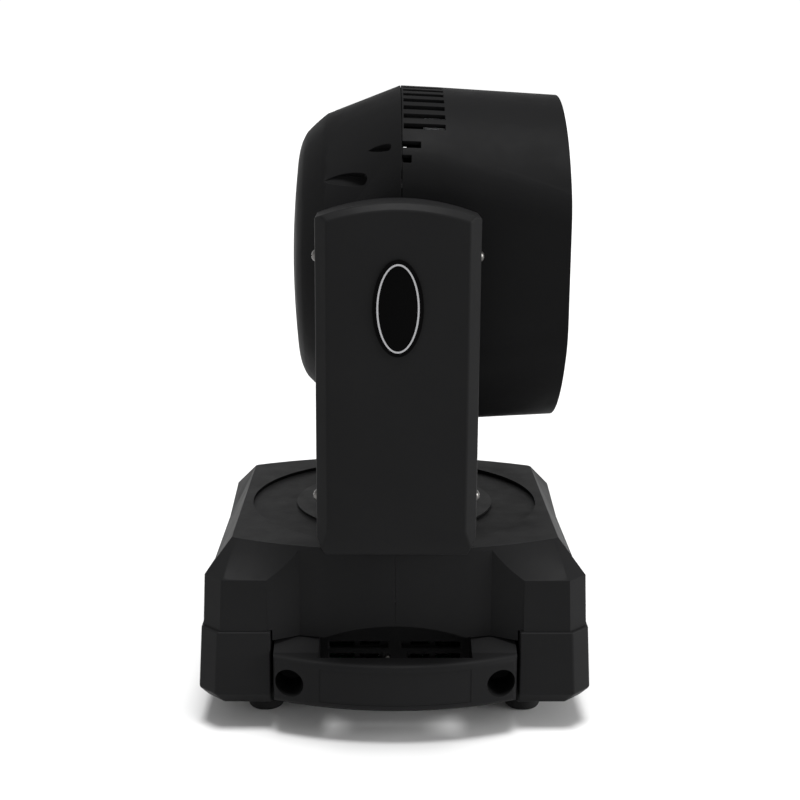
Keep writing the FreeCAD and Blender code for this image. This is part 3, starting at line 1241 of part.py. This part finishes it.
def recess(name, kind, side, lower, growth, depth):
    """A recess for a screwdriver: round towards the split, drawn out to a tip at the back.

    Its floor lies its sink below the cover's surface at the tip. growth widens it for the liner."""
    body = make_body(name)
    start, tip, drift = kind + "_start", kind + "_tip", times(side, kind + "_drift")
    half = "(%s_height / 2 + %s)" % (kind, growth)
    back = "-1 * (%s + 2 * %s)" % (tip, growth)
    corners = [("-1 * " + start, times(side, half)), (back, drift), ("-1 * " + start, times(-side, half))]
    reach = "(%s - %s)" % (tip, start)
    form = outline(body, name + "_form", "XY_Plane", corners, "0",
                   {0: times(side, "1.2 * " + reach), 1: times(side, "3 * " + reach),
                    2: times(side, "1.2 * " + half)})
    pad(body, form, "cutter_reach + %s_sink + %s" % (kind, depth))
    slope = "(head_radius - rear_corner_radius) / (rear_corner_at + split)"
    floor = value("head_radius - %s * (%s + split) - %s_sink - %s" % (slope, tip, kind, depth))
    turn = Rotation(Vector(1, 0, 0), lower + side * value(kind + "_angle"))
    offset = turn.multVec(Vector(0, 0, floor))
    body.Placement = FreeCAD.Placement(Vector(0, offset.y, offset.z + value("tilt_height")), turn)
    return body


def recesses(name, growth, depth):
    return [recess("%s_%s_%d_%d" % (name, kind, side + 1, lower), kind, side, lower, growth, depth)
            for side in (-1, 1) for lower in (0, 180) for kind in ("port_long", "port_short")]


def rear_vents():
    count = int(value("rear_vent_count"))
    slots = []
    for number in range(count):
        step = number - (count - 1) / 2
        z = "tilt_height + %g * rear_vent_pitch - rear_vent_slot / 2" % step
        slots.append(box("rear_vent", ("-rear_end", "-rear_vent_half", z),
                         ("2 * shell_wall", "2 * rear_vent_half", "rear_vent_slot")))
    return slots


def head_rear_cover():
    outside = rear_form("rear_outside", "0", SPLIT_REAR)
    hollow = rear_form("rear_hollow", "shell_wall", SPLIT_REAR + " + shell_wall")
    liners = common("rear_liners", outside, fuse("rear_liner_blanks",
                                                 recesses("liner", "port_wall", "port_floor")))
    walls = fuse("rear_walls", [cut("rear_shell", outside, [hollow]), liners])
    tools = recesses("recess", "0", "0") + rear_vents() + [trunnion_hole()]
    node("head_rear_cover", cut("head_rear_cover", walls, tools))


def bore_radius(at):
    """The radius that clears the inside of the front shell's flats at a distance along the beam."""
    share = "((%s) - head_waist_at) / (rim_at - head_waist_at)" % at
    return "cheek - shell_wall - frame_gap + (rim_cheek - cheek) * " + share


def lens_centres():
    """Nineteen places: one in the middle, six round it and twelve round those."""
    places = [("0", "0")]
    for ring, first in ((1, 0), (2, 0), (math.sqrt(3), 30)):
        for number in range(6):
            turn = math.radians(first + 60 * number)
            places.append(("lens_pitch * %.6f" % (ring * math.cos(turn)),
                           "lens_pitch * %.6f" % (ring * math.sin(turn))))
    return places


def optics():
    """The black mask with its lenses, and the LED board behind them."""
    centres = [(y, plus("tilt_height", z)) for y, z in lens_centres()]
    plug = front_form("mask_form", "shell_wall + frame_gap", SPLIT_FRONT, "rim_at")
    slab = box("mask_slab", ("mask_at", "-head_radius", "tilt_height - head_radius"),
               ("mask_thickness", "2 * head_radius", "2 * head_radius"))
    holes = [cylinder("mask_hole", ("mask_at", y, z), "lens_radius + lens_clearance",
                      "mask_thickness", "x") for y, z in centres]
    node("lens_mask", cut("lens_mask", common("mask_blank", plug, slab), holes))
    lens = make_body("lens_form")
    bulge = "(lens_radius ^ 2 + lens_bulge ^ 2) / (2 * lens_bulge)"
    corners = [("lens_bulge", "0"), ("0", "lens_radius"), ("-1 * lens_depth", "lens_radius / 2"),
               ("-1 * lens_depth", "0")]
    revolve(lens, outline(lens, "lens_profile", "XY_Plane", corners, "0", {0: bulge}))
    places = [FreeCAD.Placement(Vector(value("mask_at"), value(y), value(z)), Rotation())
              for y, z in centres]
    copies("lenses", [(lens, places)])
    board = [cylinder("led_plate", ("led_board_at", "0", "tilt_height"), bore_radius("led_board_at"),
                      "board_thickness", "x")]
    for y, z in centres:
        board.append(cylinder("emitter", ("led_board_at + board_thickness", y, z), "emitter_radius",
                              "emitter_height", "x"))
    node("led_board", fuse("led_board", board))


def heat_sink():
    """A round base plate behind the LED board, with upright fins towards the back."""
    front = "led_board_at - sink_base"
    radius = "(%s)" % bore_radius(front)
    depth = front + " - fin_start"
    base = cylinder("sink_base_plate", (front, "0", "tilt_height"), radius, "sink_base", "x")
    fins = []
    count = int(value("fin_count"))
    for number in range(count):
        y = "%g * fin_pitch - fin_thickness / 2" % (number - (count - 1) / 2)
        fins.append(box("fin", ("fin_start", y, "tilt_height - " + radius),
                        (depth, "fin_thickness", "2 * " + radius)))
    envelope = cylinder("fin_envelope", ("fin_start", "0", "tilt_height"), radius, depth, "x")
    block = common("fin_block", fuse("fin_stack", fins), envelope)
    node("heat_sink", fuse("heat_sink", [base, block]))


def head_frame(wheel_low):
    """Two steel brackets that hold the heat sink, and the hollow trunnions they hang on."""
    inner = "(cheek - shell_wall - frame_gap)"
    front = "led_board_at - sink_base"
    brackets = []
    for side in (-1, 1):
        y = inner + " - frame_steel" if side > 0 else "-" + inner
        foot_y = inner + " - frame_foot" if side > 0 else "-" + inner
        web = box("bracket_web", ("-frame_rear", y, "tilt_height - frame_half"),
                  (front + " + frame_rear", "frame_steel", "2 * frame_half"))
        foot = box("bracket_foot", (front + " - frame_steel", foot_y, "tilt_height - frame_half"),
                   ("frame_steel", "frame_foot", "2 * frame_half"))
        hole = cylinder("bracket_hole", ("0", "-cheek", "tilt_height"), "trunnion_bore", "2 * cheek",
                        "y")
        brackets.append(cut("head_bracket", fuse("bracket_blank", [web, foot]), [hole]))
    node("head_brackets", group("head_brackets", brackets))
    far_end = "%s + plate_steel / 2 + tilt_bearing_width + running_gap" % PLATE_FACE
    for label, start, end in (("near", wheel_low, "-1 * " + inner), ("far", inner, far_end)):
        node("trunnion_" + label, tube("trunnion_" + label, ("0", start, "tilt_height"),
                                       "trunnion_radius", "trunnion_bore",
                                       "%s - (%s)" % (end, start), "y"))


def head_driver_board():
    """The LED driver board below the fan, on the ends of the fins."""
    low = ("fin_start - board_thickness", "-driver_width / 2",
           "tilt_height - driver_rise - driver_height")
    pieces = [box("driver_plate", low, ("board_thickness", "driver_width", "driver_height"))]
    for number in range(4):
        y = plus(low[1], "driver_chip_first + %d * driver_chip_pitch" % number)
        pieces.append(box("driver_chip", (plus(low[0], "-driver_chip_depth"), y,
                                          plus(low[2], "driver_chip_lift")),
                          ("driver_chip_depth", "driver_chip_length", "driver_chip_height")))
    node("head_driver_board", fuse("head_driver_board", pieces))


# ---------------------------------------------------------------- build, check and write

def check():
    for item in doc.Objects:
        if "Invalid" in item.State or "Error" in item.State:
            raise RuntimeError("%s failed: %s" % (item.Label, item.State))
    for label, item in NODES.items():
        if item.Shape.isNull() or not item.Shape.isValid() or not item.Shape.Solids:
            raise RuntimeError("%s has no valid solid" % label)


base_covers()
base_case()
carry_handle("carry_handle_near", -1)
carry_handle("carry_handle_far", 1)
rubber_feet()
screws()
base_deck()
pan_bearing()
pan_drive()
front_panel()
rear_panel()
base_electronics()
fans()
arms()
yoke_bridge()
badges()
tilt_wheel_low = tilt_drive()
head_front_shell()
head_rear_cover()
optics()
heat_sink()
head_frame(tilt_wheel_low)
head_driver_board()
doc.recompute()
check()
os.makedirs("parts", exist_ok=True)
for label, item in NODES.items():
    item.Shape.exportStep("parts/%s.step" % label)
    print("%-20s solids %2d volume %.0f" % (label, len(item.Shape.Solids), item.Shape.Volume))
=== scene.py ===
"""A moving head light in a plain white studio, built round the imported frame."""

import json
import math

import bmesh
import bpy
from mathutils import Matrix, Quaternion, Vector


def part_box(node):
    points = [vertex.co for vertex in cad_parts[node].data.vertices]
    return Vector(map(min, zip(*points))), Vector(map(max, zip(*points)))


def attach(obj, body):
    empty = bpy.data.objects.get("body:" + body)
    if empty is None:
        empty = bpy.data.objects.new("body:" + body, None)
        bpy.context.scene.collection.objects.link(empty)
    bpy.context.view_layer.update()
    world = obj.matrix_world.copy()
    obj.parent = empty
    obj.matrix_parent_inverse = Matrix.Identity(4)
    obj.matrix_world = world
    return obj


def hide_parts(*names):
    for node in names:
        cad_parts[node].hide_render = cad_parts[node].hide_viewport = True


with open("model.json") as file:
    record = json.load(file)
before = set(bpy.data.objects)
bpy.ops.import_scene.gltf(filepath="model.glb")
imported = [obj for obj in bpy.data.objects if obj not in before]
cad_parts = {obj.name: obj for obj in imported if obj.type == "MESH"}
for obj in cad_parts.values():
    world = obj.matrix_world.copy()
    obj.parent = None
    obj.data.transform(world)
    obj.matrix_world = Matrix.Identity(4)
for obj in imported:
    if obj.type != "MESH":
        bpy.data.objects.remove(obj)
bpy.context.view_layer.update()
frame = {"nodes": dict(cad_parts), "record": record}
NODES = frame["nodes"]
MM = 0.001


# ---------------------------------------------------------------- material helpers

def link(tree, source, target):
    tree.links.new(source, target)


def add(tree, kind, **values):
    node = tree.nodes.new(kind)
    for name, value in values.items():
        if name in node.inputs:
            node.inputs[name].default_value = value
        else:
            setattr(node, name, value)
    return node


def blank(name, **shader_values):
    """A material with one Principled shader, and the object's own coordinates in metres."""
    material = bpy.data.materials.new(name)
    material.use_nodes = True
    tree = material.node_tree
    shader = next(node for node in tree.nodes if node.type == "BSDF_PRINCIPLED")
    for socket, value in shader_values.items():
        shader.inputs[socket].default_value = value
    place = add(tree, "ShaderNodeTexCoord").outputs["Object"]
    return material, tree, shader, place


def noise(tree, place, scale, detail=2.0, rough=0.5):
    node = add(tree, "ShaderNodeTexNoise", Scale=scale, Detail=detail, Roughness=rough)
    link(tree, place, node.inputs["Vector"])
    return node.outputs["Fac"]


def between(tree, factor, low, high):
    """Maps a noise's middle range onto low to high."""
    node = add(tree, "ShaderNodeMapRange")
    for name, value in (("From Min", 0.3), ("From Max", 0.7), ("To Min", low), ("To Max", high)):
        node.inputs[name].default_value = value
    link(tree, factor, node.inputs["Value"])
    return node.outputs["Result"]


def tint(tree, factor, first, second):
    node = add(tree, "ShaderNodeMix", data_type="RGBA")
    link(tree, factor, node.inputs[0])
    node.inputs[6].default_value = (*first, 1)
    node.inputs[7].default_value = (*second, 1)
    return node.outputs[2]


def bump(tree, shader, height, strength, distance):
    node = add(tree, "ShaderNodeBump", Strength=strength, Distance=distance)
    link(tree, height, node.inputs["Height"])
    link(tree, node.outputs["Normal"], shader.inputs["Normal"])


def grey(level):
    return (level, level, level * 1.03)


def moulded(name, level, roughness, grain=2200, depth=0.5, specular=0.3):
    """Moulded plastic or paint: a fine grain with slow changes of shade and gloss."""
    material, tree, shader, place = blank(name)
    shader.inputs["Specular IOR Level"].default_value = specular
    shade = noise(tree, place, 14, 4)
    link(tree, tint(tree, shade, grey(level * 0.84), grey(level * 1.16)), shader.inputs["Base Color"])
    gloss = noise(tree, place, 60, 5, 0.6)
    link(tree, between(tree, gloss, roughness - 0.04, roughness + 0.05), shader.inputs["Roughness"])
    bump(tree, shader, noise(tree, place, grain, 3, 0.6), depth, 0.00006)
    return material


def metal(name, colour, roughness, scale, stretch=(1, 1, 1)):
    """Bare or plated metal with a drawn or mottled surface."""
    material, tree, shader, place = blank(name, Metallic=1.0)
    mapping = add(tree, "ShaderNodeMapping", Scale=stretch)
    link(tree, place, mapping.inputs["Vector"])
    grain = noise(tree, mapping.outputs["Vector"], scale, 5, 0.6)
    darker = tuple(channel * 0.8 for channel in colour)
    link(tree, tint(tree, grain, darker, colour), shader.inputs["Base Color"])
    link(tree, between(tree, grain, roughness * 0.8, roughness * 1.3), shader.inputs["Roughness"])
    bump(tree, shader, grain, 0.15, 0.00005)
    return material


def glass(name, colour, roughness):
    material, tree, shader, place = blank(name, Roughness=roughness, IOR=1.49)
    shader.inputs["Transmission Weight"].default_value = 1.0
    haze = noise(tree, place, 30, 3)
    paler = tuple(channel * 0.96 for channel in colour)
    link(tree, tint(tree, haze, colour, paler), shader.inputs["Base Color"])
    return material


def board(name, mask, track):
    """Solder mask over faint copper tracks."""
    material, tree, shader, place = blank(name, Roughness=0.35)
    tracks = add(tree, "ShaderNodeTexVoronoi", Scale=260, feature="DISTANCE_TO_EDGE")
    link(tree, place, tracks.inputs["Vector"])
    step = add(tree, "ShaderNodeMath", operation="LESS_THAN")
    step.inputs[1].default_value = 0.08
    link(tree, tracks.outputs["Distance"], step.inputs[0])
    colour = tint(tree, step.outputs[0], mask, track)
    link(tree, colour, shader.inputs["Base Color"])
    bump(tree, shader, step.outputs[0], 0.2, 0.00005)
    return material


def materials():
    """Every material by its name. The nodes take the record's, but for two finished differently."""
    made = {
        "shell_plastic": moulded("shell_plastic", 0.0085, 0.5, specular=0.05),
        # Painted shade: the head is the same plastic as the shells, given a darker, less glossy copy
        # to stand in for the shade that falls on it.
        "shaded_head_plastic": moulded("shaded_head_plastic", 0.0072, 0.5, specular=0.025),
        "handle_plastic": moulded("handle_plastic", 0.0085, 0.48, specular=0.05),
        "rubber": moulded("rubber", 0.006, 0.75, grain=1200, specular=0.2),
        "screw_steel": metal("screw_steel", (0.13, 0.125, 0.12), 0.3, 900),
        "black_steel": moulded("black_steel", 0.007, 0.45, grain=1400, specular=0.06),
        "zinc_steel": metal("zinc_steel", (0.55, 0.56, 0.57), 0.35, 120),
        "bearing_steel": metal("bearing_steel", (0.7, 0.7, 0.7), 0.15, 700),
        "pulley_plastic": moulded("pulley_plastic", 0.35, 0.5),
        "belt_rubber": moulded("belt_rubber", 0.006, 0.8, grain=900),
        "motor_steel": moulded("motor_steel", 0.01, 0.35, grain=800),
        "fan_plastic": moulded("fan_plastic", 0.006, 0.45, specular=0.08),
        "board": board("board", (0.008, 0.075, 0.03), (0.02, 0.16, 0.06)),
        "led_board": board("led_board", (0.42, 0.42, 0.38), (0.6, 0.6, 0.54)),
        "aluminium": metal("aluminium", (0.72, 0.73, 0.74), 0.32, 300, (1, 1, 0.05)),
        "lens": glass("lens", (0.97, 0.98, 1.0), 0.03),
        "mask_plastic": moulded("mask_plastic", 0.006, 0.35),
        "window": moulded("window", 0.004, 0.06, grain=100, depth=0.05, specular=0.5),
        "button_plastic": moulded("button_plastic", 0.02, 0.4),
        "panel_metal": moulded("panel_metal", 0.007, 0.38, grain=1600),
        "badge_ring": metal("badge_ring", (0.38, 0.38, 0.39), 0.3, 500),
        "badge_face": moulded("badge_face", 0.0012, 0.22, grain=60, depth=0.05, specular=0.02),
        "socket_metal": moulded("socket_metal", 0.01, 0.35, grain=1200),
    }
    for entry in frame["record"]["subparts"]:
        item = NODES[entry["node"]]
        for slot in item.material_slots:
            slot.material = made[entry["material_slot"]]
        if not item.material_slots:
            item.data.materials.append(made[entry["material_slot"]])
    for name, finish in (("led_board", "led_board"), ("arm_plates", "black_steel")):
        for slot in NODES[name].material_slots:
            slot.material = made[finish]
    return made


# ---------------------------------------------------------------- soft-edged shells

BODY_OF = {node: body for body, nodes in frame["record"]["behaviour"]["bodies"].items()
           for node in nodes}
FLAT = math.radians(0.5)
SHARP = math.radians(28)
RADIUS_STEPS = 3
NARROW_FACED = ("base_cover_front", "base_cover_rear")


def shell_form(name, width):
    """The node's form as clean faces, with its sharp edges rounded to the width.

    On the covers the narrowest face limits the width."""
    form = bmesh.new()
    form.from_mesh(NODES[name].data)
    bmesh.ops.remove_doubles(form, verts=form.verts, dist=0.001 * MM)
    bmesh.ops.dissolve_limit(form, angle_limit=FLAT, verts=form.verts, edges=form.edges)
    sharp = [edge for edge in form.edges if edge.is_manifold and edge.calc_face_angle() > SHARP]
    bmesh.ops.bevel(form, geom=sharp, offset=width, segments=RADIUS_STEPS, profile=0.5,
                    affect="EDGES", clamp_overlap=name in NARROW_FACED)
    form.verts.index_update()
    corners = [tuple(vertex.co) for vertex in form.verts]
    faces = [[vertex.index for vertex in face.verts] for face in form.faces]
    form.free()
    return corners, faces


def soften(name, width, surface="shell_plastic"):
    """Stands in for a moulded shell, with the small radius along its edges that it is moulded with."""
    corners, faces = shell_form(name, width * MM)
    mesh = bpy.data.meshes.new(name + "_moulding")
    mesh.from_pydata(corners, [], faces)
    mesh.shade_smooth()
    mesh.materials.append(SURFACES[surface])
    item = bpy.data.objects.new(name + "_moulding", mesh)
    bpy.context.collection.objects.link(item)
    shading = item.modifiers.new("flat_faces", "WEIGHTED_NORMAL")
    shading.weight = 100
    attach(item, BODY_OF[name])
    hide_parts(name)


def shells():
    """The moulded shells in view, each with the radius of its edges in millimetres."""
    for name in NARROW_FACED:
        soften(name, 0.6)
    for name in ("base_case", "bridge_cover", "arm_cover_near", "arm_cover_far"):
        soften(name, 1.0)
    for name in ("head_front_shell", "head_rear_cover"):
        # The head shells take the darker copy of the shell plastic, which is painted shade.
        soften(name, 0.4, "shaded_head_plastic")


# ---------------------------------------------------------------- lip behind the head's split

SHELL_WALL = 3 * MM
LIP_CLEARANCE = 0.9 * MM
LIP_WALL = 1.5 * MM
LIP_OVERLAP = 1.1 * MM
LIP_HALF_ANGLE = 55
LIP_STEPS = 40


def lip_arc(name, middle):
    """An arc of flat strip inside the shells, across the split, centred on an angle from the top."""
    low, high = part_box("head_rear_cover")
    centre_z = (low.z + high.z) / 2
    outer = (high.z - low.z) / 2 - SHELL_WALL - LIP_CLEARANCE
    rear, front = high.x - LIP_OVERLAP, high.x + LIP_OVERLAP
    section = [(rear, outer), (front, outer), (front, outer - LIP_WALL), (rear, outer - LIP_WALL)]
    corners = []
    for step in range(LIP_STEPS + 1):
        angle = math.radians(middle + LIP_HALF_ANGLE * (2 * step / LIP_STEPS - 1))
        corners += [(x, radius * math.sin(angle), centre_z + radius * math.cos(angle))
                    for x, radius in section]
    faces = [(3, 2, 1, 0), tuple(4 * LIP_STEPS + corner for corner in range(4))]
    for step in range(LIP_STEPS):
        first, second = 4 * step, 4 * step + 4
        for side in range(4):
            after = (side + 1) % 4
            faces.append((first + side, first + after, second + after, second + side))
    mesh = bpy.data.meshes.new(name)
    mesh.from_pydata(corners, [], faces)
    # The lip takes the head's darker copy of the shell plastic, which is painted shade.
    mesh.materials.append(SURFACES["shaded_head_plastic"])
    item = bpy.data.objects.new(name, mesh)
    bpy.context.collection.objects.link(item)
    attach(item, "head")


def split_lips():
    """Close the split to light above and below the flat cheeks."""
    lip_arc("head_lip_upper", 0)
    lip_arc("head_lip_lower", 180)


# ---------------------------------------------------------------- stage

def floor():
    """A white floor that runs far past the picture on every side."""
    mesh = bpy.data.meshes.new("studio_floor")
    reach = 30.0
    corners = [(-reach, -reach, 0), (reach, -reach, 0), (reach, reach, 0), (-reach, reach, 0)]
    mesh.from_pydata(corners, [], [(0, 1, 2, 3)])
    item = bpy.data.objects.new("studio_floor", mesh)
    bpy.context.collection.objects.link(item)
    material, tree, shader, place = blank("studio_floor", Roughness=0.9)
    shader.inputs["Specular IOR Level"].default_value = 0.1
    mottle = noise(tree, place, 3, 2)
    link(tree, tint(tree, mottle, (0.66, 0.66, 0.66), (0.68, 0.68, 0.68)), shader.inputs["Base Color"])
    mesh.materials.append(material)


def softbox(name, direction, spread, strength):
    """An even light from far away that shines along a direction, as wide as spread in degrees."""
    data = bpy.data.lights.new(name, "SUN")
    data.energy = strength
    data.angle = math.radians(spread)
    item = bpy.data.objects.new(name, data)
    item.rotation_euler = Vector(direction).to_track_quat("-Z", "Y").to_euler()
    bpy.context.collection.objects.link(item)


def sky():
    """White near the horizon and dim overhead, where the softboxes take over."""
    world = bpy.data.worlds.new("studio")
    world.use_nodes = True
    tree = world.node_tree
    background = tree.nodes["Background"]
    place = add(tree, "ShaderNodeTexCoord")
    axes = add(tree, "ShaderNodeSeparateXYZ")
    link(tree, place.outputs["Generated"], axes.inputs[0])
    fade = add(tree, "ShaderNodeMapRange", interpolation_type="SMOOTHSTEP")
    for name, value in (("From Min", 0.08), ("From Max", 0.5), ("To Min", 1.05), ("To Max", 0.45)):
        fade.inputs[name].default_value = value
    link(tree, axes.outputs["Z"], fade.inputs["Value"])
    link(tree, fade.outputs["Result"], background.inputs["Strength"])
    background.inputs["Color"].default_value = (1, 1, 1, 1)
    bpy.context.scene.world = world


def lights():
    sky()
    softbox("top_softbox", (-0.03, 0.1, -1), 24, 3.8)
    softbox("right_softbox", (-1, 0.2, -0.25), 30, 2.4)


CAMERA_PLACE = Vector((-8.7, -866.9, 378.2)) * MM
CAMERA_LENS = 60.6
LOOKING_DOWN = math.radians(12.84)
LOOKING_RIGHT = math.radians(0.8)
CAMERA_ROLL = math.radians(0.38)


def camera():
    """A camera a little above the light, square to the side with the badge."""
    data = bpy.data.cameras.new("camera")
    data.sensor_width = 36
    data.lens = CAMERA_LENS
    item = bpy.data.objects.new("camera", data)
    item.location = CAMERA_PLACE
    pitch, yaw, roll = LOOKING_DOWN, LOOKING_RIGHT, CAMERA_ROLL
    forward = Vector((math.sin(yaw) * math.cos(pitch), math.cos(yaw) * math.cos(pitch),
                      -math.sin(pitch)))
    item.rotation_mode = "QUATERNION"
    item.rotation_quaternion = Quaternion(forward, -roll) @ forward.to_track_quat("-Z", "Y")
    bpy.context.collection.objects.link(item)
    bpy.context.scene.camera = item


SURFACES = materials()
shells()
split_lips()
floor()
lights()
camera()
bpy.context.scene.view_settings.view_transform = "Standard"
